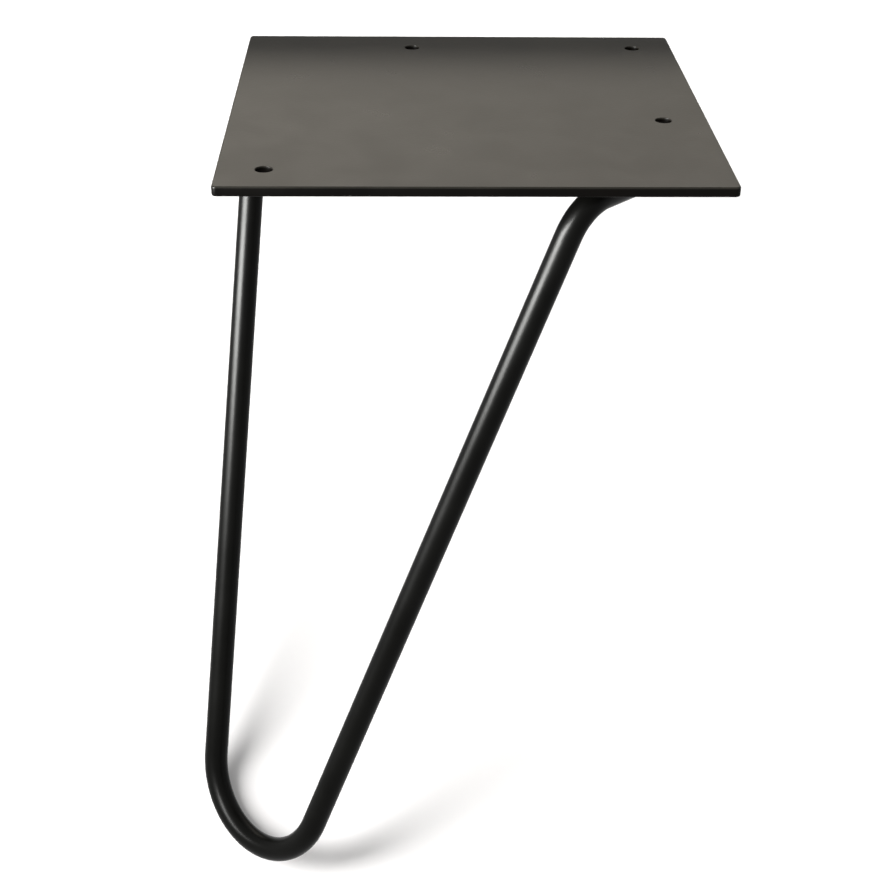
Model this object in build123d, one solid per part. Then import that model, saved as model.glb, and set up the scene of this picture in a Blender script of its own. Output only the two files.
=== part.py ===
"""Tubular furniture leg: one round tube bent into a V and welded under a square screw plate.

Millimetres. The origin is the middle of the plate's top face, which lies against the furniture.
+Z points up into the furniture, X and Y run along the plate's sides, and the foot stands under
the plate's outer corner, at -X -Y. Everything is mirrored across the diagonal plane X = Y.
"""
from build123d import *
import math
import os

# Mounting plate
PLATE_SIDE = 150.0
PLATE_THICKNESS = 3.0
PLATE_CORNER_RADIUS = 1.5
PLATE_TOP_ROUNDING = 0.5
PLATE_BOTTOM_ROUNDING = 0.4

# Screw holes: one in the outer corner, one in the inner corner, one along each inner side
HOLE_DIAMETER = 5.2
HOLE_EDGE_DISTANCE = 14.0
SIDE_HOLE_PITCH = 78.0
HOLE_CHAMFER = 0.2

# Bent tube, measured on its coating
TUBE_DIAMETER = 8.2
TUBE_WALL = 1.5
LEG_HEIGHT = 250.0
FOOT_BEND_RADIUS = 26.5
TOP_BEND_RADIUS = 13.7
END_STRAIGHT = 30.0

# Where the tube's bends stand under the plate: the centreline's distance inside an outer edge,
# and along that edge from the outer corner
FOOT_EDGE_DISTANCE = 0.5
TOP_BEND_EDGE_DISTANCE = 5.3
TOP_BEND_CORNER_DISTANCE = 105.5

# Weld beads, one on each side of each tube end
WELD_RADIUS = 2.2
WELD_CENTRE_SHARE = 0.4
WELD_LENGTH = 20.0
WELD_END_TAPER = 2.5
WELD_TO_TUBE_END = 4.0

DIAGONAL = Plane(origin=(0, 0, 0), z_dir=(1, -1, 0))


def screw_hole_centres():
    """Corner holes on the diagonal, and a hole along each inner side."""
    corner = PLATE_SIDE / 2 - HOLE_EDGE_DISTANCE
    side = corner - SIDE_HOLE_PITCH
    return [(-corner, -corner), (corner, corner), (corner, side), (side, corner)]


def mounting_plate():
    """Square sheet with rounded edges and plain screw holes, its top face at Z = 0."""
    sheet = Box(PLATE_SIDE, PLATE_SIDE, PLATE_THICKNESS, align=(Align.CENTER, Align.CENTER, Align.MAX))
    sheet = fillet(sheet.edges().filter_by(Axis.Z), PLATE_CORNER_RADIUS)
    largest = min(0.45 * PLATE_THICKNESS, 0.9 * PLATE_CORNER_RADIUS)
    sheet = fillet(sheet.faces().sort_by(Axis.Z)[-1].edges(), min(PLATE_TOP_ROUNDING, largest))
    sheet = fillet(sheet.faces().sort_by(Axis.Z)[0].edges(), min(PLATE_BOTTOM_ROUNDING, largest))
    for x, y in screw_hole_centres():
        sheet -= Pos(x, y, 0) * screw_hole_cutter()
    return sheet


def screw_hole_cutter():
    """Drill shape of one hole: its wall, and a small chamfer at its mouth on both faces."""
    wall = HOLE_DIAMETER / 2
    chamfer_size = min(HOLE_CHAMFER, 0.3 * PLATE_THICKNESS)
    mouth = wall + chamfer_size
    cutter = Cylinder(wall, 3 * PLATE_THICKNESS)
    cutter += Pos(0, 0, -chamfer_size / 2) * Cone(wall, mouth, chamfer_size)
    cutter += Pos(0, 0, chamfer_size / 2 - PLATE_THICKNESS) * Cone(mouth, wall, chamfer_size)
    return cutter


def top_bend_corner():
    """Corner of the centreline where the leg meets the tube end that lies under the front edge."""
    along = TOP_BEND_CORNER_DISTANCE - PLATE_SIDE / 2
    across = TOP_BEND_EDGE_DISTANCE - PLATE_SIDE / 2
    return Vector(along, across, -PLATE_THICKNESS - TUBE_DIAMETER / 2)


def foot_corner():
    """Corner of the centreline below the foot, where the two straight runs of the V would meet."""
    top = top_bend_corner()
    middle = Vector((top.X + top.Y) / 2, (top.X + top.Y) / 2, top.Z)
    beside = FOOT_EDGE_DISTANCE - PLATE_SIDE / 2
    foot = Vector(beside, beside, -LEG_HEIGHT + TUBE_DIAMETER / 2)
    half_width = (top - middle).length
    to_bend_centre = (foot - middle).length - FOOT_BEND_RADIUS
    across = math.hypot(half_width, to_bend_centre)
    half_angle = math.atan(half_width / to_bend_centre) - math.asin(FOOT_BEND_RADIUS / across)
    beyond = FOOT_BEND_RADIUS / math.sin(half_angle) - FOOT_BEND_RADIUS
    return foot + (foot - middle).normalized() * beyond


def end_direction():
    """Way that both tube ends point: along the diagonal, towards the plate's inner corner."""
    return Vector(1, 1, 0).normalized()


def end_length():
    """Length of a tube end from its corner: half of the top bend, and the welded straight."""
    top = top_bend_corner()
    turn = math.radians((top - foot_corner()).get_angle(end_direction()))
    return TOP_BEND_RADIUS * math.tan(turn / 2) + END_STRAIGHT


def tube_centreline():
    """End, top bend, straight run, foot bend, straight run, top bend and end, in one line."""
    corner = top_bend_corner()
    end = corner + end_direction() * end_length()
    far_corner = Vector(corner.Y, corner.X, corner.Z)
    far_end = Vector(end.Y, end.X, end.Z)
    return FilletPolyline(end, corner, foot_corner(), far_corner, far_end,
                          radius=[TOP_BEND_RADIUS, FOOT_BEND_RADIUS, TOP_BEND_RADIUS])


def bent_tube():
    """One length of round tube, cut square and left open at both ends."""
    centreline = tube_centreline()
    outer = TUBE_DIAMETER / 2
    section = Circle(outer) - Circle(outer - TUBE_WALL)
    start = Plane(origin=centreline @ 0, z_dir=centreline % 0)
    return sweep(start * section, path=centreline)


def weld_bead(side):
    """Bead in the corner between the plate and the front tube end, on one side of that end.

    It is a rod with tapered ends. Its middle lies equally far outside the tube and below the
    plate, and it is cut back to both, so that it meets them face to face.
    """
    radius = TUBE_DIAMETER / 2
    stand_off = WELD_CENTRE_SHARE * WELD_RADIUS
    aside = math.sqrt((radius + stand_off) ** 2 - (radius - stand_off) ** 2)
    along = end_direction()
    frame = Plane(origin=top_bend_corner() + along * end_length(), x_dir=along, z_dir=(0, 0, 1))
    middle = -WELD_TO_TUBE_END - WELD_LENGTH / 2
    rod = Rot(0, 90, 0) * Cylinder(WELD_RADIUS, WELD_LENGTH - 2 * WELD_END_TAPER)
    for end in (-1, 1):
        taper = Cone(WELD_RADIUS, WELD_RADIUS / 2, WELD_END_TAPER)
        rod += Pos(end * (WELD_LENGTH - WELD_END_TAPER) / 2, 0, 0) * Rot(0, 90 * end, 0) * taper
    bead = Pos(middle, side * aside, radius - stand_off) * rod
    tube = Pos(middle, 0, 0) * Rot(0, 90, 0) * Cylinder(radius, 2 * WELD_LENGTH)
    plate = Pos(middle, 0, radius) * Box(2 * WELD_LENGTH, 8 * radius, 4 * WELD_RADIUS,
                                         align=(Align.CENTER, Align.CENTER, Align.MIN))
    return frame * (bead - tube - plate)


def parts():
    """Every piece of the leg by its name."""
    outer_bead = weld_bead(-1)
    inner_bead = weld_bead(1)
    return {
        "mounting_plate": mounting_plate(),
        "bent_tube": bent_tube(),
        "front_weld_outer": outer_bead,
        "front_weld_inner": inner_bead,
        "side_weld_outer": mirror(outer_bead, about=DIAGONAL),
        "side_weld_inner": mirror(inner_bead, about=DIAGONAL),
    }


os.makedirs("parts", exist_ok=True)
for node, shape in parts().items():
    shape.label = node
    export_step(shape, "parts/" + node + ".step")
    box = shape.bounding_box()
    print(node, "volume", round(shape.volume, 1), "from", box.min, "to", box.max)
centreline = tube_centreline()
section_area = math.pi * ((TUBE_DIAMETER / 2) ** 2 - (TUBE_DIAMETER / 2 - TUBE_WALL) ** 2)
print("tube length", round(centreline.length, 2), "section times length", round(section_area * centreline.length, 1))
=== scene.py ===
import math
import random

import bmesh
import bpy
from bpy.props import FloatProperty, FloatVectorProperty, PointerProperty
from mathutils import Matrix, Vector


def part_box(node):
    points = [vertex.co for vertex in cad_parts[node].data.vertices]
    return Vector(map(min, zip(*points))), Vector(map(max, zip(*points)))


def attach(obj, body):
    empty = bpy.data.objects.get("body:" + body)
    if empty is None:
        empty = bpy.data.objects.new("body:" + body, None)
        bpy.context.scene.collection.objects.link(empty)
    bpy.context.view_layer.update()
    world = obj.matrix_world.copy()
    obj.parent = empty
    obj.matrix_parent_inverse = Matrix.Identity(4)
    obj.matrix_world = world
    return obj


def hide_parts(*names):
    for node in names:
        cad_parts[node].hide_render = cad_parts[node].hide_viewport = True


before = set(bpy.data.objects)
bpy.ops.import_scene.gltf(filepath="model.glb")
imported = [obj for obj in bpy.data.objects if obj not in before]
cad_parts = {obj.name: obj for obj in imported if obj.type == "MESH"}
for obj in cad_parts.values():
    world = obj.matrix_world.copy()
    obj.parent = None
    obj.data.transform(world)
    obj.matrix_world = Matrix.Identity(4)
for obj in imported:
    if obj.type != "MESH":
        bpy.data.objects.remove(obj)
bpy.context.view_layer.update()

bl_info = {
    "name": "Tubular furniture leg",
    "version": (1, 0, 0),
    "blender": (4, 5, 0),
    "location": "3D View > Sidebar > Leg",
    "description": "Builds a furniture leg from one bent tube, its screw plate, its weld beads and a studio",
    "category": "Object",
}

PLATE_LOW, PLATE_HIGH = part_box("mounting_plate")
TUBE_LOW, TUBE_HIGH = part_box("bent_tube")

# Side of the tube end that each bead lies on, and whether it is mirrored across the plate's diagonal
WELDS = {
    "front_weld_outer": (-1, False),
    "front_weld_inner": (1, False),
    "side_weld_outer": (-1, True),
    "side_weld_inner": (1, True),
}

# Fineness of the meshes
CORNER_SEGMENTS = 8
EDGE_SEGMENTS = 6
HOLE_MOUTH_STEPS = 4
HOLE_STEPS = 56
TUBE_SEGMENTS = 64
TUBE_END_SEGMENTS = 3
TOP_BEND_STEPS = 28
FOOT_BEND_STEPS = 72
BEAD_SEGMENTS = 24
RINGS_PER_RIPPLE = 7

# Angles above which an edge is shaded sharp, on the leg's pieces and on its weld beads
SHARP_EDGE = math.radians(40)
SHARP_RIPPLE = math.radians(80)

# Tolerances: of a vertex at a given level, of a level face's normal, and of the tube on its solid
SAME_LEVEL = 1e-6
FLAT_FACE = 0.0001
FIT_LIMIT = 0.0005

# How far the coat's clouds vary its tone, the top face's painted light and the roughness
TONE_SPREAD = 0.18
PAINTED_LIGHT_SPREAD = 0.12
SHEEN_SPREAD = 0.03

# How much rougher the coat is on the weld beads than on the tube
BEAD_EXTRA_ROUGHNESS = 0.06

# Depths below the plate's top face at which its painted light begins and is full
PAINTED_LIGHT_BEGINS = 0.0007
PAINTED_LIGHT_FULL = 0.0001

# Fine orange peel of the coat
PEEL_STRENGTH = 0.35
PEEL_HEIGHT = 0.00004

# Ripples of a weld bead: depth of the grooves between them as a share of the bead's radius, how
# far each one's crest is pushed along as a share of its length, and the form of the crest
RIPPLE_DEPTH = 0.055
RIPPLE_LEAN = 0.12
RIPPLE_STRETCH = 1.15
RIPPLE_ROUNDNESS = 0.7


# Sizes, finish and studio settings

class LegSizes(bpy.types.PropertyGroup):
    """Sizes of the leg. The plate's top face is at Z = 0 and the foot stands at -X -Y."""

    plate_side: FloatProperty(
        name="Plate Side", description="Length of each side of the square screw plate",
        default=PLATE_HIGH.x - PLATE_LOW.x, unit="LENGTH")
    plate_thickness: FloatProperty(
        name="Plate Thickness", description="Thickness of the plate's sheet with its coat",
        default=PLATE_HIGH.z - PLATE_LOW.z, unit="LENGTH")
    corner_radius: FloatProperty(
        name="Corner Radius", description="Radius of the plate's four corners, seen from above",
        default=0.0015, unit="LENGTH")
    top_rounding: FloatProperty(
        name="Top Rounding", description="Radius of the edge round the plate's top face",
        default=0.0005, unit="LENGTH")
    bottom_rounding: FloatProperty(
        name="Bottom Rounding", description="Radius of the edge round the plate's underside",
        default=0.0004, unit="LENGTH")
    hole_diameter: FloatProperty(
        name="Hole Diameter", description="Diameter of each screw hole through the plate",
        default=0.0052, unit="LENGTH")
    hole_rounding: FloatProperty(
        name="Hole Rounding", description="Radius of the coat where it turns into a screw hole",
        default=0.0002, unit="LENGTH")
    hole_edge_distance: FloatProperty(
        name="Hole Edge Distance", description="From a plate edge to the middles of the holes along it",
        default=0.014, unit="LENGTH")
    side_hole_pitch: FloatProperty(
        name="Side Hole Pitch", description="From the inner corner's hole to the hole along an inner side",
        default=0.078, unit="LENGTH")
    tube_diameter: FloatProperty(
        name="Tube Diameter", description="Outside diameter of the round tube with its coat",
        default=0.0082, unit="LENGTH")
    tube_wall: FloatProperty(
        name="Tube Wall", description="Thickness of the tube's wall", default=0.0015, unit="LENGTH")
    tube_end_rounding: FloatProperty(
        name="Tube End Rounding", description="Radius of the edges of the tube's two cut ends",
        default=0.0002, unit="LENGTH")
    leg_height: FloatProperty(
        name="Leg Height", description="From the floor to the plate's top face",
        default=-TUBE_LOW.z, unit="LENGTH")
    foot_bend_radius: FloatProperty(
        name="Foot Bend Radius", description="Radius of the tube's centreline at the foot",
        default=0.0265, unit="LENGTH")
    top_bend_radius: FloatProperty(
        name="Top Bend Radius", description="Radius of the tube's centreline under the plate",
        default=0.0137, unit="LENGTH")
    end_straight: FloatProperty(
        name="End Straight", description="Length of each straight tube end along the plate's underside",
        default=0.03, unit="LENGTH")
    foot_inset: FloatProperty(
        name="Foot Inset", description="From the two outer edges inwards to the foot's centreline",
        default=0.0005, unit="LENGTH")
    top_bend_inset: FloatProperty(
        name="Top Bend Inset", description="From an outer edge inwards to the corner of the top bend",
        default=0.0053, unit="LENGTH")
    top_bend_along: FloatProperty(
        name="Top Bend Along", description="From the outer corner along the edge to the top bend's corner",
        default=0.1055, unit="LENGTH")
    weld_radius: FloatProperty(
        name="Weld Radius", description="Radius of the weld bead's round section",
        default=0.0022, unit="LENGTH")
    weld_centre_share: FloatProperty(
        name="Weld Centre Share", description="Share of its radius by which a bead's middle stands off",
        default=0.4, subtype="FACTOR")
    weld_length: FloatProperty(
        name="Weld Length", description="Length of each weld bead", default=0.02, unit="LENGTH")
    weld_end_taper: FloatProperty(
        name="Weld End Taper", description="Length over which a bead narrows to half at each end",
        default=0.0025, unit="LENGTH")
    weld_to_end: FloatProperty(
        name="Weld to Tube End", description="From the tube's cut end to the bead's nearer end",
        default=0.004, unit="LENGTH")
    weld_ripple: FloatProperty(
        name="Weld Ripple", description="Distance between two ripples of a weld bead",
        default=0.0014, unit="LENGTH")


class LegFinish(bpy.types.PropertyGroup):
    """Colours and surface of the baked coat."""

    tube_colour: FloatVectorProperty(
        name="Tube Colour", description="Colour of the coat on the tube and the welds",
        default=(0.0029, 0.0029, 0.0025), size=3, subtype="COLOR")
    plate_colour: FloatVectorProperty(
        name="Plate Colour", description="Colour of the coat on the plate's underside and edges",
        default=(0.0020, 0.0015, 0.0010), size=3, subtype="COLOR")
    # Painted light: the top face's colour is about ten times the same coat's colour elsewhere, a lit copy of
    # the coat standing for light on the top face
    lit_face_colour: FloatVectorProperty(
        name="Top Face Colour", description="Colour of the plate's top face, hazed by handling and dust",
        default=(0.0240, 0.0222, 0.0184), size=3, subtype="COLOR")
    speck_colour: FloatVectorProperty(
        name="Speck Colour", description="Colour of the few specks of dust on the plate",
        default=(0.30, 0.29, 0.26), size=3, subtype="COLOR")
    tube_roughness: FloatProperty(
        name="Tube Roughness", description="Roughness of the coat on the tube", default=0.33,
        subtype="FACTOR")
    plate_roughness: FloatProperty(
        name="Plate Roughness", description="Roughness of the coat on the plate", default=0.30,
        subtype="FACTOR")
    gloss: FloatProperty(
        name="Gloss", description="Strength of the coat's mirror reflection, seen straight on",
        default=0.05, subtype="FACTOR")


class LegStudio(bpy.types.PropertyGroup):
    """Floor, light and camera round the leg."""

    floor_half: FloatProperty(
        name="Floor Half Size", description="From the middle of the floor to its edge",
        default=0.5, unit="LENGTH")
    floor_lean: FloatProperty(
        name="Floor Lean", description="Slope of the floor, which rises towards the plate's back edge",
        default=math.radians(40.0), subtype="ANGLE")
    floor_colour: FloatVectorProperty(
        name="Floor Colour", description="Colour of the pale floor", default=(0.875, 0.86, 0.85),
        size=3, subtype="COLOR")
    floor_glow: FloatProperty(
        name="Floor Glow", description="Brightness that the camera sees on the floor beside its light",
        default=0.10)
    ambient: FloatProperty(
        name="Ambient Light", description="Brightness of the room as a lamp", default=0.40)
    key_strength: FloatProperty(
        name="Key Light", description="Power of the soft light that throws the shadow", default=73.0,
        unit="POWER")
    key_target: FloatVectorProperty(
        name="Key Light Target", description="Place beside the foot that the key light stands off",
        default=(-0.09, -0.09, TUBE_LOW.z), size=3, subtype="TRANSLATION")
    key_distance: FloatProperty(
        name="Key Light Distance", description="From its target to the key light", default=2.0,
        unit="LENGTH")
    key_size: FloatVectorProperty(
        name="Key Light Size", description="Width and length of the key light", default=(0.608, 2.072),
        size=2, unit="LENGTH")
    key_azimuth: FloatProperty(
        name="Key Light Azimuth", description="Turn of the key light from the front to the left",
        default=math.radians(56.1), subtype="ANGLE")
    key_elevation: FloatProperty(
        name="Key Light Elevation", description="Height of the key light above the foot",
        default=math.radians(39.1), subtype="ANGLE")
    key_tilt: FloatProperty(
        name="Key Light Tilt", description="Elevation that the back of the key light faces",
        default=math.radians(14.0), subtype="ANGLE")
    key_roll: FloatProperty(
        name="Key Light Roll", description="Turn of the key light about the way that it faces",
        default=math.radians(-28.5), subtype="ANGLE")
    side_strength: FloatProperty(
        name="Side Softbox", description="Power of the long softbox that draws the tube's streak",
        default=1235.0, unit="POWER")
    side_target: FloatVectorProperty(
        name="Side Softbox Target", description="Place in the leg's middle that the softbox stands off",
        default=(-0.03, -0.04, -0.10), size=3, subtype="TRANSLATION")
    side_colour: FloatVectorProperty(
        name="Side Softbox Colour", description="Colour of the side softbox", default=(0.995, 1.0, 0.98),
        size=3, subtype="COLOR")
    side_size: FloatVectorProperty(
        name="Side Softbox Size", description="Width and length of the side softbox",
        default=(0.407, 4.752), size=2, unit="LENGTH")
    side_azimuth: FloatProperty(
        name="Side Softbox Azimuth", description="Turn of the softbox from the front to the left",
        default=math.radians(37.0), subtype="ANGLE")
    side_elevation: FloatProperty(
        name="Side Softbox Elevation", description="Height of the softbox above the leg's middle",
        default=math.radians(34.9), subtype="ANGLE")
    side_tilt: FloatProperty(
        name="Side Softbox Tilt", description="Elevation that the back of the leaning softbox faces",
        default=math.radians(-51.1), subtype="ANGLE")
    side_roll: FloatProperty(
        name="Side Softbox Roll", description="Turn of the softbox about the way that it faces",
        default=math.radians(-6.2), subtype="ANGLE")
    side_distance: FloatProperty(
        name="Side Softbox Distance", description="From the leg's middle to the softbox",
        default=2.717, unit="LENGTH")
    card_distance: FloatProperty(
        name="Back Card Distance", description="From the plate's middle to the warm card behind it",
        default=1.5, unit="LENGTH")
    card_half_width: FloatProperty(
        name="Back Card Half Width", description="From the card's middle to its side", default=1.2,
        unit="LENGTH")
    card_span: FloatVectorProperty(
        name="Back Card Span",
        description="Elevations at which the card, seen from the plate, is dark and full",
        default=(math.radians(12.0), math.radians(25.0)), size=2)
    card_change: FloatVectorProperty(
        name="Back Card Change", description="Where the card's left strength ends and its right one begins",
        default=(-0.15, 0.30), size=2, unit="LENGTH")
    card_colour: FloatVectorProperty(
        name="Back Card Colour", description="Colour of the card's glow", default=(1.0, 0.93, 0.82),
        size=3, subtype="COLOR")
    card_top: FloatProperty(
        name="Back Card Top", description="Elevation of the card's upper end, seen from the plate",
        default=math.radians(31.0), subtype="ANGLE")
    card_strength: FloatVectorProperty(
        name="Back Card Strength",
        description="Brightness of the card behind the plate's left and right sides",
        default=(5.0, 3.95), size=2)
    flag_fade: FloatVectorProperty(
        name="Flag Fade",
        description="Heights at which the flag behind the plate's back edge is full and gone",
        default=(0.006, 0.022), size=2, unit="LENGTH")
    flag_glow: FloatProperty(
        name="Flag Glow", description="Brightness of the flag behind the plate's back edge", default=0.28)
    flag_gap: FloatProperty(
        name="Flag Gap", description="From the plate's back edge to the flag", default=0.001, unit="LENGTH")
    flag_overhang: FloatProperty(
        name="Flag Overhang", description="How far the flag reaches past the plate's sides",
        default=0.0075, unit="LENGTH")
    camera_place: FloatVectorProperty(
        name="Camera Place", description="Where the camera stands",
        default=(-0.02351329, -0.50852795, 0.16684231), size=3, subtype="TRANSLATION")
    camera_yaw: FloatProperty(
        name="Camera Yaw", description="Turn of the camera about the vertical",
        default=-0.0320286, subtype="ANGLE")
    camera_pitch: FloatProperty(
        name="Camera Pitch", description="How far the camera looks down", default=0.5209534,
        subtype="ANGLE")
    camera_roll: FloatProperty(
        name="Camera Roll", description="Turn of the camera about its own axis", default=0.0133835,
        subtype="ANGLE")
    camera_lens: FloatProperty(
        name="Camera Lens", description="Focal length for a 36 mm sensor, in millimetres",
        default=66.737)


# Route of the tube

def top_corner(sizes):
    """Corner of the centreline where the leg meets the tube end under the plate's front edge."""
    along = sizes.top_bend_along - sizes.plate_side / 2
    across = sizes.top_bend_inset - sizes.plate_side / 2
    return Vector((along, across, -sizes.plate_thickness - sizes.tube_diameter / 2))


def foot_corner(sizes):
    """Corner of the centreline below the foot, where the two straight runs would meet."""
    top = top_corner(sizes)
    middle = Vector(((top.x + top.y) / 2, (top.x + top.y) / 2, top.z))
    beside = sizes.foot_inset - sizes.plate_side / 2
    foot = Vector((beside, beside, -sizes.leg_height + sizes.tube_diameter / 2))
    half_width = (top - middle).length
    radius = sizes.foot_bend_radius
    to_bend = (foot - middle).length - radius
    half_angle = math.atan(half_width / to_bend) - math.asin(radius / math.hypot(half_width, to_bend))
    beyond = radius / math.sin(half_angle) - radius
    return foot + (foot - middle).normalized() * beyond


def end_direction():
    """Way that both tube ends point, along the plate's diagonal."""
    return Vector((1, 1, 0)).normalized()


def tube_end(sizes):
    """Middle of the cut end under the plate's front edge."""
    corner = top_corner(sizes)
    turn = (corner - foot_corner(sizes)).angle(end_direction())
    length = sizes.top_bend_radius * math.tan(turn / 2) + sizes.end_straight
    return corner + end_direction() * length


def across_diagonal(point):
    """The same place on the other side of the leg's plane of symmetry."""
    return Vector((point.y, point.x, point.z))


# Mesh helpers

def new_piece(name, bm, material, node):
    """Makes a finished mesh a piece of the leg, standing for its solid."""
    mesh = bpy.data.meshes.new(name)
    bm.to_mesh(mesh)
    bm.free()
    mesh.materials.append(material)
    piece = bpy.data.objects.new(name, mesh)
    bpy.context.scene.collection.objects.link(piece)
    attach(piece, "root")
    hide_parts(node)
    return piece


def smooth_round_faces(bm, sharp=SHARP_EDGE):
    """Shades the mesh smooth, apart from edges sharper than the given angle."""
    for face in bm.faces:
        face.smooth = True
    for edge in bm.edges:
        edge.smooth = edge.is_manifold and edge.calc_face_angle(0) < sharp


def bevel_edges(bm, edges, offset, segments):
    """Rounds the edges with a circular section."""
    return bmesh.ops.bevel(bm, geom=edges, offset=offset, offset_type="OFFSET", affect="EDGES",
                           segments=segments, profile=0.5, material=-1, clamp_overlap=True)


def edges_of(made):
    """Edges among what an operator of bmesh made."""
    return [g for g in made if isinstance(g, bmesh.types.BMEdge)]


def verts_of(made):
    """Vertices among what an operator of bmesh made."""
    return [g for g in made if isinstance(g, bmesh.types.BMVert)]


def draw_on(bm, ring, move):
    """Draws open rings straight on, and returns what is new at their far end."""
    made = bmesh.ops.extrude_edge_only(bm, edges=ring)["geom"]
    bmesh.ops.translate(bm, vec=move, verts=verts_of(made))
    return made


def facing(axis):
    """Turn that points local +Z along the axis."""
    return axis.to_track_quat("Z", "X").to_matrix().to_4x4()


def upright(axis):
    """The same, with local Y as near to the vertical as it can be."""
    across = Vector((0, 0, 1)).cross(axis).normalized()
    return Matrix((across, axis.cross(across), axis)).transposed().to_4x4()


# Materials

def coat_surface_group():
    """Group with the height, cloudiness and dust specks of a baked coat, from object coordinates."""
    known = bpy.data.node_groups.get("coat_surface")
    if known:
        return known
    group = bpy.data.node_groups.new("coat_surface", "ShaderNodeTree")
    group.interface.new_socket(name="Vector", in_out="INPUT", socket_type="NodeSocketVector")
    for name, value in (("Peel Scale", 900.0), ("Peel Depth", 1.0), ("Cloud Scale", 45.0),
                        ("Speck Scale", 260.0), ("Speck Share", 0.004)):
        socket = group.interface.new_socket(name=name, in_out="INPUT", socket_type="NodeSocketFloat")
        socket.default_value = value
    for name in ("Height", "Clouds", "Specks"):
        group.interface.new_socket(name=name, in_out="OUTPUT", socket_type="NodeSocketFloat")
    nodes, links = group.nodes, group.links
    given = nodes.new("NodeGroupInput")
    result = nodes.new("NodeGroupOutput")

    peel = nodes.new("ShaderNodeTexNoise")
    peel.inputs["Detail"].default_value = 2.0
    peel.inputs["Roughness"].default_value = 0.45
    links.new(given.outputs["Vector"], peel.inputs["Vector"])
    links.new(given.outputs["Peel Scale"], peel.inputs["Scale"])
    depth = nodes.new("ShaderNodeMath")
    depth.operation = "MULTIPLY"
    links.new(peel.outputs["Fac"], depth.inputs[0])
    links.new(given.outputs["Peel Depth"], depth.inputs[1])

    clouds = nodes.new("ShaderNodeTexNoise")
    clouds.inputs["Detail"].default_value = 5.0
    clouds.inputs["Roughness"].default_value = 0.62
    clouds.inputs["Distortion"].default_value = 0.4
    links.new(given.outputs["Vector"], clouds.inputs["Vector"])
    links.new(given.outputs["Cloud Scale"], clouds.inputs["Scale"])
    spread = nodes.new("ShaderNodeMapRange")
    spread.interpolation_type = "SMOOTHSTEP"
    spread.inputs["From Min"].default_value = 0.28
    spread.inputs["From Max"].default_value = 0.72
    links.new(clouds.outputs["Fac"], spread.inputs["Value"])

    cells = nodes.new("ShaderNodeTexVoronoi")
    links.new(given.outputs["Vector"], cells.inputs["Vector"])
    links.new(given.outputs["Speck Scale"], cells.inputs["Scale"])
    near = nodes.new("ShaderNodeMapRange")
    near.inputs["From Min"].default_value = 0.10
    near.inputs["From Max"].default_value = 0.05
    links.new(cells.outputs["Distance"], near.inputs["Value"])
    parted = nodes.new("ShaderNodeSeparateColor")
    links.new(cells.outputs["Color"], parted.inputs["Color"])
    chosen = nodes.new("ShaderNodeMath")
    chosen.operation = "LESS_THAN"
    links.new(parted.outputs["Red"], chosen.inputs[0])
    links.new(given.outputs["Speck Share"], chosen.inputs[1])
    specks = nodes.new("ShaderNodeMath")
    specks.operation = "MULTIPLY"
    links.new(near.outputs["Result"], specks.inputs[0])
    links.new(chosen.outputs["Value"], specks.inputs[1])

    links.new(depth.outputs["Value"], result.inputs["Height"])
    links.new(spread.outputs["Result"], result.inputs["Clouds"])
    links.new(specks.outputs["Value"], result.inputs["Specks"])
    return group


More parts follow.
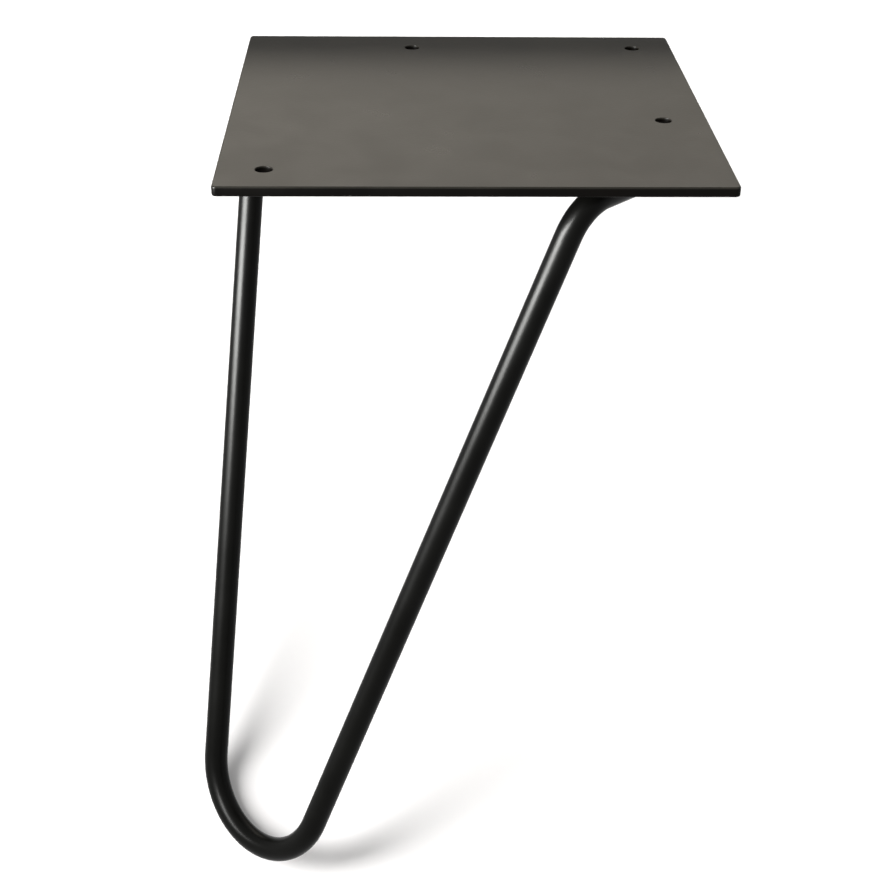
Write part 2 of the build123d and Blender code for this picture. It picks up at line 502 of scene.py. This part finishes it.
def coat_material(name, colour, roughness, gloss, lit_face_colour=None, speck_colour=None, face_level=0.0):
    """Baked coat: a near-black film with a fine orange peel and uneven sheen.

    Where a lit face colour is given, faces at that level are painted lighter with it, as painted light
    standing for light on the top face, and carry dust specks.
    """
    material = bpy.data.materials.new(name)
    material.use_nodes = True
    nodes, links = material.node_tree.nodes, material.node_tree.links
    shader = nodes["Principled BSDF"]
    shader.inputs["Specular IOR Level"].default_value = gloss
    place = nodes.new("ShaderNodeTexCoord")
    surface = nodes.new("ShaderNodeGroup")
    surface.node_tree = coat_surface_group()
    links.new(place.outputs["Object"], surface.inputs["Vector"])

    tone = nodes.new("ShaderNodeMix")
    tone.data_type = "RGBA"
    tone.inputs["A"].default_value = (*[(1 - TONE_SPREAD) * c for c in colour], 1.0)
    tone.inputs["B"].default_value = (*[(1 + TONE_SPREAD) * c for c in colour], 1.0)
    links.new(surface.outputs["Clouds"], tone.inputs["Factor"])
    shown = tone.outputs["Result"]
    # Painted light: the top face gets a much lighter copy of the coat's colour, standing for light on it;
    # the specks below are real dust
    if lit_face_colour:
        parts = nodes.new("ShaderNodeSeparateXYZ")
        links.new(place.outputs["Object"], parts.inputs["Vector"])
        on_face = nodes.new("ShaderNodeMapRange")
        on_face.interpolation_type = "SMOOTHSTEP"
        on_face.inputs["From Min"].default_value = face_level - PAINTED_LIGHT_BEGINS
        on_face.inputs["From Max"].default_value = face_level - PAINTED_LIGHT_FULL
        links.new(parts.outputs["Z"], on_face.inputs["Value"])
        lit_copy = nodes.new("ShaderNodeMix")
        lit_copy.data_type = "RGBA"
        lit_copy.inputs["A"].default_value = (*[(1 - PAINTED_LIGHT_SPREAD) * c for c in lit_face_colour], 1.0)
        lit_copy.inputs["B"].default_value = (*[(1 + PAINTED_LIGHT_SPREAD) * c for c in lit_face_colour], 1.0)
        links.new(surface.outputs["Clouds"], lit_copy.inputs["Factor"])
        painted_lit = nodes.new("ShaderNodeMix")
        painted_lit.data_type = "RGBA"
        links.new(on_face.outputs["Result"], painted_lit.inputs["Factor"])
        links.new(shown, painted_lit.inputs["A"])
        links.new(lit_copy.outputs["Result"], painted_lit.inputs["B"])
        dust = nodes.new("ShaderNodeMath")
        dust.operation = "MULTIPLY"
        links.new(on_face.outputs["Result"], dust.inputs[0])
        links.new(surface.outputs["Specks"], dust.inputs[1])
        dusted = nodes.new("ShaderNodeMix")
        dusted.data_type = "RGBA"
        dusted.inputs["B"].default_value = (*speck_colour, 1.0)
        links.new(dust.outputs["Value"], dusted.inputs["Factor"])
        links.new(painted_lit.outputs["Result"], dusted.inputs["A"])
        shown = dusted.outputs["Result"]
    links.new(shown, shader.inputs["Base Color"])

    sheen = nodes.new("ShaderNodeMapRange")
    sheen.inputs["To Min"].default_value = roughness - SHEEN_SPREAD
    sheen.inputs["To Max"].default_value = roughness + SHEEN_SPREAD
    links.new(surface.outputs["Clouds"], sheen.inputs["Value"])
    links.new(sheen.outputs["Result"], shader.inputs["Roughness"])

    bump = nodes.new("ShaderNodeBump")
    bump.inputs["Strength"].default_value = PEEL_STRENGTH
    bump.inputs["Distance"].default_value = PEEL_HEIGHT
    links.new(surface.outputs["Height"], bump.inputs["Height"])
    links.new(bump.outputs["Normal"], shader.inputs["Normal"])
    return material


def seen_by_eye(nodes, links):
    """Output that is 1 for rays from the camera, a mirror or glass, and 0 for diffuse light."""
    path = nodes.new("ShaderNodeLightPath")
    mirrored = nodes.new("ShaderNodeMath")
    mirrored.operation = "MAXIMUM"
    links.new(path.outputs["Is Camera Ray"], mirrored.inputs[0])
    links.new(path.outputs["Is Glossy Ray"], mirrored.inputs[1])
    seen = nodes.new("ShaderNodeMath")
    seen.operation = "MAXIMUM"
    links.new(mirrored.outputs["Value"], seen.inputs[0])
    links.new(path.outputs["Is Transmission Ray"], seen.inputs[1])
    return seen.outputs["Value"]


def floor_material(studio):
    """Pale floor that keeps the leg's shadow, looks white where it is lit and is clear from below."""
    material = bpy.data.materials.new("studio_floor")
    material.use_nodes = True
    nodes, links = material.node_tree.nodes, material.node_tree.links
    nodes.clear()
    paint = nodes.new("ShaderNodeBsdfDiffuse")
    paint.inputs["Color"].default_value = (*studio.floor_colour, 1.0)
    level = nodes.new("ShaderNodeMath")
    level.operation = "MULTIPLY"
    level.inputs[1].default_value = studio.floor_glow
    links.new(seen_by_eye(nodes, links), level.inputs[0])
    glow = nodes.new("ShaderNodeEmission")
    links.new(level.outputs["Value"], glow.inputs["Strength"])
    lit = nodes.new("ShaderNodeAddShader")
    links.new(paint.outputs["BSDF"], lit.inputs[0])
    links.new(glow.outputs["Emission"], lit.inputs[1])
    clear = nodes.new("ShaderNodeBsdfTransparent")
    sides = nodes.new("ShaderNodeNewGeometry")
    both = nodes.new("ShaderNodeMixShader")
    links.new(sides.outputs["Backfacing"], both.inputs["Fac"])
    links.new(lit.outputs["Shader"], both.inputs[1])
    links.new(clear.outputs["BSDF"], both.inputs[2])
    output = nodes.new("ShaderNodeOutputMaterial")
    links.new(both.outputs["Shader"], output.inputs["Surface"])
    return material


def card_material(studio):
    """Glow of the card behind the plate, dark at its foot and full from the span's upper end on."""
    material = bpy.data.materials.new("back_card_glow")
    material.use_nodes = True
    nodes, links = material.node_tree.nodes, material.node_tree.links
    nodes.clear()
    place = nodes.new("ShaderNodeTexCoord")
    parts = nodes.new("ShaderNodeSeparateXYZ")
    links.new(place.outputs["Object"], parts.inputs["Vector"])
    level = nodes.new("ShaderNodeMapRange")
    level.inputs["From Min"].default_value = studio.card_distance * math.tan(studio.card_span[0])
    level.inputs["From Max"].default_value = studio.card_distance * math.tan(studio.card_span[1])
    links.new(parts.outputs["Z"], level.inputs["Value"])
    sides = nodes.new("ShaderNodeMapRange")
    sides.inputs["From Min"].default_value, sides.inputs["From Max"].default_value = studio.card_change
    sides.inputs["To Min"].default_value, sides.inputs["To Max"].default_value = studio.card_strength
    links.new(parts.outputs["X"], sides.inputs["Value"])
    strength = nodes.new("ShaderNodeMath")
    strength.operation = "MULTIPLY"
    links.new(level.outputs["Result"], strength.inputs[0])
    links.new(sides.outputs["Result"], strength.inputs[1])
    glow = nodes.new("ShaderNodeEmission")
    glow.inputs["Color"].default_value = (*studio.card_colour, 1.0)
    links.new(strength.outputs["Value"], glow.inputs["Strength"])
    output = nodes.new("ShaderNodeOutputMaterial")
    links.new(glow.outputs["Emission"], output.inputs["Surface"])
    return material


def flag_material(studio):
    """Plain grey of the low flag that hides the card from the plate's back edge, and fades upwards."""
    material = bpy.data.materials.new("flag_grey")
    material.use_nodes = True
    nodes, links = material.node_tree.nodes, material.node_tree.links
    nodes.clear()
    place = nodes.new("ShaderNodeTexCoord")
    parts = nodes.new("ShaderNodeSeparateXYZ")
    links.new(place.outputs["Object"], parts.inputs["Vector"])
    gone = nodes.new("ShaderNodeMapRange")
    gone.inputs["From Min"].default_value, gone.inputs["From Max"].default_value = studio.flag_fade
    links.new(parts.outputs["Z"], gone.inputs["Value"])
    glow = nodes.new("ShaderNodeEmission")
    glow.inputs["Strength"].default_value = studio.flag_glow
    clear = nodes.new("ShaderNodeBsdfTransparent")
    both = nodes.new("ShaderNodeMixShader")
    links.new(gone.outputs["Result"], both.inputs["Fac"])
    links.new(glow.outputs["Emission"], both.inputs[1])
    links.new(clear.outputs["BSDF"], both.inputs[2])
    output = nodes.new("ShaderNodeOutputMaterial")
    links.new(both.outputs["Shader"], output.inputs["Surface"])
    return material


def studio_world(studio):
    """White room: white to the camera and in reflections, and a soft lamp for everything else."""
    world = bpy.data.worlds.new("studio_room")
    world.use_nodes = True
    nodes, links = world.node_tree.nodes, world.node_tree.links
    level = nodes.new("ShaderNodeMapRange")
    level.inputs["To Min"].default_value = studio.ambient
    level.inputs["To Max"].default_value = 1.0
    links.new(seen_by_eye(nodes, links), level.inputs["Value"])
    room = nodes["Background"]
    room.inputs["Color"].default_value = (1.0, 1.0, 1.0, 1.0)
    links.new(level.outputs["Result"], room.inputs["Strength"])
    world.cycles.sampling_method = "NONE"
    return world


# Operators

class LEG_OT_screw_plate(bpy.types.Operator):
    """Build the square screw plate with its rounded edges and its four screw holes."""

    bl_idname = "leg.screw_plate"
    bl_label = "Build Screw Plate"

    def execute(self, context):
        sizes = context.scene.leg_sizes
        finish = context.scene.leg_finish
        thickness = sizes.plate_thickness
        bm = bmesh.new()
        bmesh.ops.create_cube(bm, size=1.0)
        bmesh.ops.scale(bm, vec=(sizes.plate_side, sizes.plate_side, thickness), verts=bm.verts)
        bmesh.ops.translate(bm, vec=(0, 0, -thickness / 2), verts=bm.verts)
        corners = [e for e in bm.edges if abs(e.verts[0].co.z - e.verts[1].co.z) > thickness / 2]
        bevel_edges(bm, corners, sizes.corner_radius, CORNER_SEGMENTS)
        self.round_outline(bm, 1, sizes.top_rounding)
        self.round_outline(bm, -1, sizes.bottom_rounding)
        for side in (1, -1):
            bmesh.ops.delete(bm, geom=[self.flat_face(bm, side)], context="FACES_ONLY")
        for x, y in self.hole_centres(sizes):
            self.hole_wall(bm, sizes, x, y)
        for level in (0.0, -thickness):
            rims = [e for e in bm.edges if e.is_boundary
                    and all(abs(v.co.z - level) < SAME_LEVEL for v in e.verts)]
            bmesh.ops.triangle_fill(bm, edges=rims, use_beauty=True, use_dissolve=False,
                                    normal=(0, 0, 1))
        bmesh.ops.recalc_face_normals(bm, faces=bm.faces)
        if any(not e.is_manifold for e in bm.edges):
            raise RuntimeError("the screw plate's mesh is open")
        smooth_round_faces(bm)
        for face in bm.faces:
            face.smooth = abs(face.normal.z) < 1 - FLAT_FACE
        coat = coat_material("baked_plate_coat", finish.plate_colour, finish.plate_roughness, finish.gloss,
                             finish.lit_face_colour, finish.speck_colour, 0.0)
        new_piece("screw_plate", bm, coat, "mounting_plate")
        return {"FINISHED"}

    def flat_face(self, bm, side):
        """The plate's large top face, or its underside."""
        return max(bm.faces, key=lambda face: side * face.normal.z * face.calc_area())

    def round_outline(self, bm, side, radius):
        """Rounds the edges of the top face or of the underside."""
        bm.normal_update()
        bevel_edges(bm, list(self.flat_face(bm, side).edges), radius, EDGE_SEGMENTS)
        bm.normal_update()

    def hole_centres(self, sizes):
        """Corner holes on the diagonal, and one hole along each inner side."""
        corner = sizes.plate_side / 2 - sizes.hole_edge_distance
        side = corner - sizes.side_hole_pitch
        return [(-corner, -corner), (corner, corner), (corner, side), (side, corner)]

    def hole_wall(self, bm, sizes, x, y):
        """Spins the section of a screw hole, with the coat rounded over at both mouths."""
        wall = sizes.hole_diameter / 2
        rounding = sizes.hole_rounding
        start = bmesh.ops.create_vert(bm, co=(x + wall + rounding, y, 0))["vert"][0]
        arc = bmesh.ops.spin(bm, geom=[start], cent=(x + wall + rounding, y, -rounding), axis=(0, 1, 0),
                             dvec=(0, 0, 0), angle=-math.pi / 2, steps=HOLE_MOUTH_STEPS, use_merge=False)
        down = bmesh.ops.extrude_vert_indiv(bm, verts=verts_of(arc["geom_last"]))["verts"]
        bmesh.ops.translate(bm, vec=(0, 0, 2 * rounding - sizes.plate_thickness), verts=down)
        bmesh.ops.spin(bm, geom=down, cent=(x + wall + rounding, y, rounding - sizes.plate_thickness),
                       axis=(0, 1, 0), dvec=(0, 0, 0), angle=-math.pi / 2, steps=HOLE_MOUTH_STEPS,
                       use_merge=False)
        middle = Vector((x, y))
        section = [e for e in bm.edges if not e.link_faces and (e.verts[0].co.xy - middle).length < 2 * wall]
        geometry = section + list({v for e in section for v in e.verts})
        bmesh.ops.spin(bm, geom=geometry, cent=(x, y, 0), axis=(0, 0, 1), dvec=(0, 0, 0),
                       angle=2 * math.pi, steps=HOLE_STEPS, use_merge=True)


class LEG_OT_bent_tube(bpy.types.Operator):
    """Build the leg's one tube: end, top bend, run, foot bend, run, top bend and end."""

    bl_idname = "leg.bent_tube"
    bl_label = "Build Bent Tube"

    def execute(self, context):
        sizes = context.scene.leg_sizes
        finish = context.scene.leg_finish
        end = tube_end(sizes)
        corner = top_corner(sizes)
        far_corner = across_diagonal(corner)
        far_end = across_diagonal(end)
        bends = [(corner, sizes.top_bend_radius, TOP_BEND_STEPS),
                 (foot_corner(sizes), sizes.foot_bend_radius, FOOT_BEND_STEPS),
                 (far_corner, sizes.top_bend_radius, TOP_BEND_STEPS)]
        stops = [end, *[bend[0] for bend in bends], far_end]
        bm = bmesh.new()
        way = (stops[1] - stops[0]).normalized()
        for radius in (sizes.tube_diameter / 2, sizes.tube_diameter / 2 - sizes.tube_wall):
            bmesh.ops.create_circle(bm, cap_ends=False, radius=radius, segments=TUBE_SEGMENTS,
                                    matrix=Matrix.Translation(end) @ facing(way))
        ring = list(bm.edges)
        first = ring
        used = 0.0
        for i, (place, radius, steps) in enumerate(bends):
            way = (place - stops[i]).normalized()
            onward = (stops[i + 2] - place).normalized()
            turn = way.angle(onward)
            trim = radius * math.tan(turn / 2)
            ring = edges_of(draw_on(bm, ring, way * ((place - stops[i]).length - used - trim)))
            inward = (onward - way * math.cos(turn)).normalized()
            centre = place - way * trim + inward * radius
            ring = self.bend(bm, ring, centre, way.cross(onward).normalized(), turn, steps)
            used = trim
        last = edges_of(draw_on(bm, ring, onward * ((far_end - far_corner).length - used)))
        for rims in (first, last):
            bmesh.ops.bridge_loops(bm, edges=rims)
        rims = [e for e in first + last if e.is_valid]
        bevel_edges(bm, rims, sizes.tube_end_rounding, TUBE_END_SEGMENTS)
        bmesh.ops.recalc_face_normals(bm, faces=bm.faces)
        if any(not e.is_manifold for e in bm.edges):
            raise RuntimeError("the tube's mesh is open")
        reached = max(v.co.y for v in bm.verts), min(v.co.z for v in bm.verts)
        if (Vector(reached) - Vector((TUBE_HIGH.y, TUBE_LOW.z))).length > FIT_LIMIT:
            raise RuntimeError("the tube leaves its solid")
        smooth_round_faces(bm)
        coat = coat_material("baked_tube_coat", finish.tube_colour, finish.tube_roughness, finish.gloss)
        new_piece("leg_tube", bm, coat, "bent_tube")
        return {"FINISHED"}

    def bend(self, bm, ring, centre, axis, turn, steps):
        """Draws the rings round a bend."""
        geometry = ring + list({v for e in ring for v in e.verts})
        made = bmesh.ops.spin(bm, geom=geometry, cent=centre, axis=axis, dvec=(0, 0, 0), angle=turn,
                              steps=steps, use_merge=False)["geom_last"]
        return edges_of(made)


class LEG_OT_weld_beads(bpy.types.Operator):
    """Build the four rippled weld beads between the tube's ends and the plate."""

    bl_idname = "leg.weld_beads"
    bl_label = "Build Weld Beads"

    def execute(self, context):
        sizes = context.scene.leg_sizes
        finish = context.scene.leg_finish
        coat = coat_material("baked_weld_coat", finish.tube_colour,
                             finish.tube_roughness + BEAD_EXTRA_ROUGHNESS, finish.gloss)
        for seed, (node, (side, mirrored)) in enumerate(WELDS.items()):
            bm = self.bead(sizes, side, random.Random(seed))
            if mirrored:
                for v in bm.verts:
                    v.co = across_diagonal(v.co)
                bmesh.ops.recalc_face_normals(bm, faces=bm.faces)
            smooth_round_faces(bm, SHARP_RIPPLE)
            new_piece(node.replace("_weld", "") + "_bead", bm, coat, node)
        return {"FINISHED"}

    def bead(self, sizes, side, chance):
        """A bead drawn ring by ring along the front tube end, with slightly uneven ripples."""
        along = end_direction()
        across = Vector((0, 0, 1)).cross(along)
        radius = sizes.tube_diameter / 2
        stand_off = sizes.weld_centre_share * sizes.weld_radius
        aside = math.sqrt((radius + stand_off) ** 2 - (radius - stand_off) ** 2)
        start = tube_end(sizes) - along * sizes.weld_to_end
        start = start + across * side * aside + Vector((0, 0, radius - stand_off))
        bm = bmesh.new()
        stations = self.stations(sizes, chance)
        first = stations[0]
        bmesh.ops.create_circle(bm, cap_ends=True, radius=first[1], segments=BEAD_SEGMENTS,
                                matrix=Matrix.Translation(start - along * first[0]) @ facing(-along))
        ring = [e for e in bm.edges if e.is_boundary]
        for before, (distance, width) in zip(stations, stations[1:]):
            made = draw_on(bm, ring, -along * (distance - before[0]))
            centre = start - along * distance
            bmesh.ops.scale(bm, vec=Vector((1, 1, 1)) * (width / before[1]), verts=verts_of(made),
                            space=Matrix.Translation(-centre))
            ring = edges_of(made)
        bmesh.ops.edgeloop_fill(bm, edges=ring)
        bmesh.ops.recalc_face_normals(bm, faces=bm.faces)
        if any(not e.is_manifold for e in bm.edges):
            raise RuntimeError("a weld bead's mesh is open")
        return bm

    def stations(self, sizes, chance):
        """Distance from the bead's end and radius there, from one end to the other."""
        length, radius = sizes.weld_length, sizes.weld_radius
        places = []
        count = round(length / (sizes.weld_ripple / RINGS_PER_RIPPLE))
        ripples = round(length / sizes.weld_ripple) + 2
        lean = [chance.uniform(-RIPPLE_LEAN, RIPPLE_LEAN) for _ in range(ripples)]
        for i in range(1, count):
            distance = length * i / count
            ripple = distance / sizes.weld_ripple
            ripple += lean[int(ripple)] * math.sin(math.pi * (ripple % 1.0))
            share = ripple % 1.0
            crest = math.sin(math.pi * min(1.0, share * RIPPLE_STRETCH)) ** RIPPLE_ROUNDNESS
            swell = 1.0 - RIPPLE_DEPTH * (1.0 - crest)
            end = min(distance, length - distance)
            tapered = radius * (0.5 + 0.5 * min(1.0, end / sizes.weld_end_taper))
            places.append((distance, tapered * swell))
        return places


class LEG_OT_studio(bpy.types.Operator):
    """Build the floor, the room, the lamps and the camera."""

    bl_idname = "leg.studio"
    bl_label = "Build Studio"

    def execute(self, context):
        sizes = context.scene.leg_sizes
        studio = context.scene.leg_studio
        self.floor(studio)
        context.scene.world = studio_world(studio)
        self.cards(sizes, studio)
        self.lamps(studio)
        self.camera(context.scene, studio)
        context.scene.view_settings.view_transform = "Standard"
        return {"FINISHED"}

    def floor(self, studio):
        """Plain patch of floor that touches the foot, leaning as the photograph's shadow asks for."""
        lean = Matrix.Rotation(studio.floor_lean, 4, "X")
        across = lean @ Vector((0, 0, 1))
        places = [v.co for v in bpy.data.objects["leg_tube"].data.vertices]
        foot = min(places, key=lambda place: place.dot(across))
        bm = bmesh.new()
        bmesh.ops.create_grid(bm, x_segments=1, y_segments=1, size=studio.floor_half,
                              matrix=Matrix.Translation(foot) @ lean)
        mesh = bpy.data.meshes.new("floor")
        bm.to_mesh(mesh)
        bm.free()
        mesh.materials.append(floor_material(studio))
        floor = bpy.data.objects.new("floor", mesh)
        floor.visible_glossy = False
        bpy.context.scene.collection.objects.link(floor)

    def cards(self, sizes, studio):
        """Upright cards behind the plate that only its mirror reflection sees."""
        self.card("back_card", studio.card_half_width, -sizes.leg_height,
                  studio.card_distance * math.tan(studio.card_top), studio.card_distance,
                  card_material(studio))
        self.card("edge_flag", sizes.plate_side / 2 + studio.flag_overhang, 0.0, studio.flag_fade[1],
                  sizes.plate_side / 2 + studio.flag_gap, flag_material(studio))

    def card(self, name, half_width, low, high, away, material):
        """A card across the Y axis between two heights."""
        bm = bmesh.new()
        bmesh.ops.create_grid(bm, x_segments=1, y_segments=1, size=1.0)
        bmesh.ops.rotate(bm, verts=bm.verts, cent=(0, 0, 0), matrix=Matrix.Rotation(math.pi / 2, 3, "X"))
        bmesh.ops.scale(bm, vec=(half_width, 1, (high - low) / 2), verts=bm.verts)
        bmesh.ops.translate(bm, vec=(0, away, (high + low) / 2), verts=bm.verts)
        mesh = bpy.data.meshes.new(name)
        bm.to_mesh(mesh)
        bm.free()
        mesh.materials.append(material)
        card = bpy.data.objects.new(name, mesh)
        card.visible_camera = False
        card.visible_diffuse = False
        card.visible_transmission = False
        card.visible_shadow = False
        bpy.context.scene.collection.objects.link(card)

    def lamps(self, studio):
        """A soft key light for the shadow, and a long softbox on the left for the tube's streak."""
        key = self.soft_light("key_light", Vector(studio.key_target),
                              self.heading(studio.key_azimuth, studio.key_elevation),
                              studio.key_distance, studio.key_size, studio.key_strength,
                              self.heading(studio.key_azimuth, studio.key_tilt), studio.key_roll)
        key.visible_glossy = False
        self.shadow_only(key, ("leg_tube",))
        side = self.soft_light("side_softbox", Vector(studio.side_target),
                               self.heading(studio.side_azimuth, studio.side_elevation),
                               studio.side_distance, studio.side_size, studio.side_strength,
                               self.heading(studio.side_azimuth, studio.side_tilt), studio.side_roll)
        side.data.color = studio.side_colour
        side.visible_diffuse = False

    def heading(self, azimuth, elevation):
        """Direction turned from the front to the left by an azimuth, at an elevation."""
        across = math.cos(elevation)
        return Vector((-math.sin(azimuth) * across, -math.cos(azimuth) * across, math.sin(elevation)))

    def soft_light(self, name, target, away, distance, size, power, back, roll):
        """An area light that stands off the target with its back to the given way, and rolled about it."""
        light = bpy.data.lights.new(name, "AREA")
        light.shape = "RECTANGLE"
        light.size, light.size_y = size
        light.energy = power
        lamp = bpy.data.objects.new(name, light)
        lamp.matrix_world = (Matrix.Translation(target + away * distance) @ upright(back)
                             @ Matrix.Rotation(roll, 4, "Z"))
        lamp.visible_camera = False
        bpy.context.scene.collection.objects.link(lamp)
        return lamp

    def shadow_only(self, lamp, names):
        """Lets only the named pieces throw a shadow in a lamp's light."""
        blockers = bpy.data.collections.new(lamp.name + "_blockers")
        for name in names:
            blockers.objects.link(bpy.data.objects[name])
        lamp.light_linking.blocker_collection = blockers

    def camera(self, scene, studio):
        """Camera at the photograph's viewing angle."""
        data = bpy.data.cameras.new("camera")
        data.sensor_width = 36.0
        data.lens = studio.camera_lens
        data.clip_start = 0.01
        data.clip_end = 50.0
        camera = bpy.data.objects.new("camera", data)
        camera.matrix_world = (Matrix.Translation(studio.camera_place)
                               @ Matrix.Rotation(studio.camera_yaw, 4, "Z")
                               @ Matrix.Rotation(math.pi / 2 - studio.camera_pitch, 4, "X")
                               @ Matrix.Rotation(studio.camera_roll, 4, "Z"))
        scene.collection.objects.link(camera)
        scene.camera = camera


class LEG_PT_builder(bpy.types.Panel):
    """Sidebar panel with the leg's settings, and a button for each group of pieces and the studio."""

    bl_label = "Furniture Leg"
    bl_idname = "LEG_PT_builder"
    bl_space_type = "VIEW_3D"
    bl_region_type = "UI"
    bl_category = "Leg"

    def draw(self, context):
        layout = self.layout
        for title, settings in (("Sizes", context.scene.leg_sizes), ("Finish", context.scene.leg_finish),
                                ("Studio", context.scene.leg_studio)):
            box = layout.box()
            box.label(text=title)
            for name in settings.bl_rna.properties.keys():
                if name not in ("rna_type", "name"):
                    box.prop(settings, name)
        for operator in OPERATORS:
            layout.operator(operator.bl_idname)


OPERATORS = (LEG_OT_screw_plate, LEG_OT_bent_tube, LEG_OT_weld_beads, LEG_OT_studio)
CLASSES = (LegSizes, LegFinish, LegStudio, *OPERATORS, LEG_PT_builder)


def register():
    for cls in CLASSES:
        bpy.utils.register_class(cls)
    bpy.types.Scene.leg_sizes = PointerProperty(type=LegSizes)
    bpy.types.Scene.leg_finish = PointerProperty(type=LegFinish)
    bpy.types.Scene.leg_studio = PointerProperty(type=LegStudio)


def unregister():
    del bpy.types.Scene.leg_studio
    del bpy.types.Scene.leg_finish
    del bpy.types.Scene.leg_sizes
    for cls in reversed(CLASSES):
        bpy.utils.unregister_class(cls)


def main():
    """Builds every piece and the studio."""
    register()
    bpy.ops.leg.screw_plate()
    bpy.ops.leg.bent_tube()
    bpy.ops.leg.weld_beads()
    bpy.ops.leg.studio()


if __name__ == "__main__":
    main()
